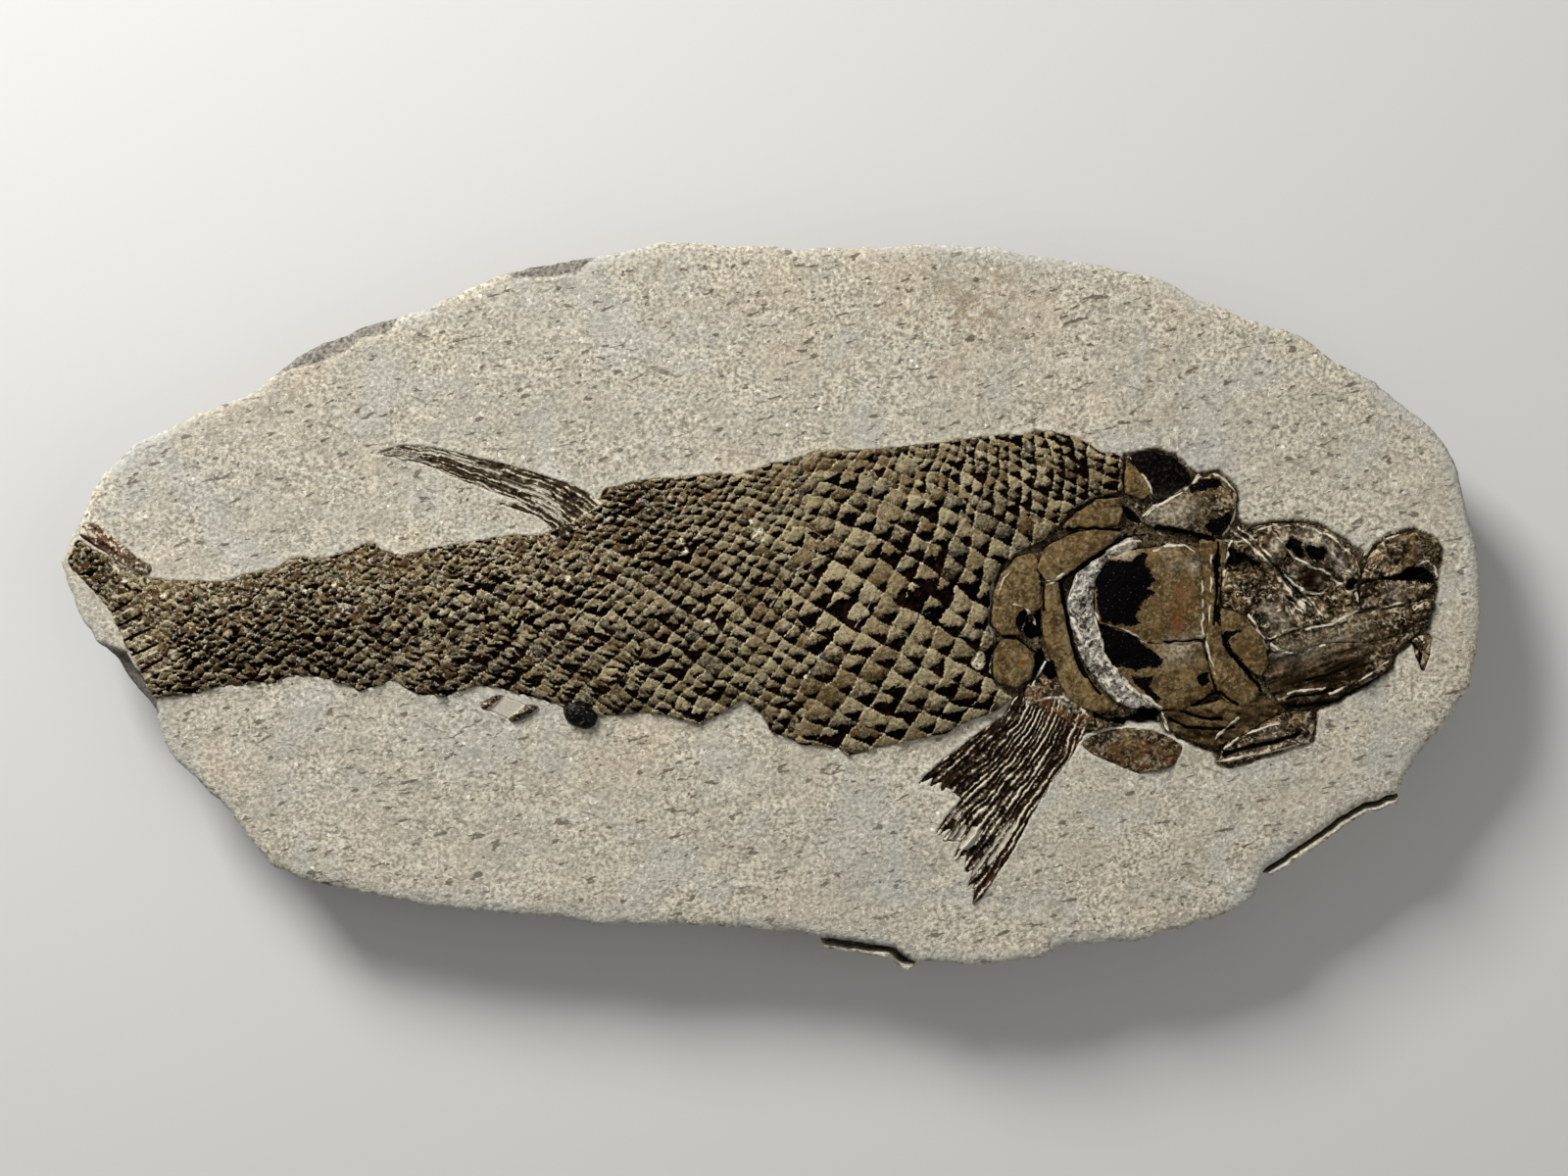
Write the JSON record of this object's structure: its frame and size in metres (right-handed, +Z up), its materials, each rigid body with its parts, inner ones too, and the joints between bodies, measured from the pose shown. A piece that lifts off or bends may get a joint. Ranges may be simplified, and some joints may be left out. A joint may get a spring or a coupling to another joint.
{
  "type": "fossil fish slab",
  "caption": "Oval slab of pale limestone with a fossil fish in low relief on its face: thick lozenge scales, head bones and fins.",
  "frame": {"origin": "centre of the slab's flat back, at the surface that it rests on", "axes": "+X along the fish towards its snout, +Y towards the fish's back, +Z up out of the face that carries the fish"},
  "size_m": [0.29, 0.148, 0.0234],
  "materials": {
    "limestone": "rough sandy limestone, pale grey-beige with white and dark grains",
    "scale_bone": "mineralised bone, satin tan-brown scales with black chipped patches",
    "tan_bone": "mineralised bone, smooth tan to olive brown, satin",
    "dark_bone": "mineralised bone, dark brown with pale fibres, satin",
    "black_bone": "mineralised bone, glossy black",
    "pale_bone": "crystalline pale grey bone edge",
    "fin_bone": "fibrous brown fin rays with pale crests"
  },
  "bodies": {
    "root": {"matrix_slab": "limestone", "scale_coat": "scale_bone", "tail_fulcra": "fin_bone", "dorsal_fin": "fin_bone", "pectoral_fin": "fin_bone", "pelvic_fin_stub": "fin_bone", "operculum": "tan_bone", "suboperculum": "tan_bone", "preoperculum": "tan_bone", "gill_rim": "pale_bone", "cleithrum": "tan_bone", "fin_girdle": "pale_bone", "supracleithrum_upper": "tan_bone", "supracleithrum_lower": "tan_bone", "shoulder_plate_upper": "tan_bone", "shoulder_plate_lower": "tan_bone", "occipital_plate": "tan_bone", "skull_roof_rear": "black_bone", "skull_roof_front": "dark_bone", "orbit_ring": "dark_bone", "cheek_plate": "dark_bone", "jugal_plate": "tan_bone", "snout": "dark_bone", "premaxilla": "dark_bone", "upper_jaw": "dark_bone", "lower_jaw": "dark_bone", "jaw_splint": "tan_bone", "hyoid_bars": "tan_bone", "gular_plate": "dark_bone", "branchiostegal_plate": "dark_bone", "belly_nodule": "black_bone"}
  },
  "joints": []
}
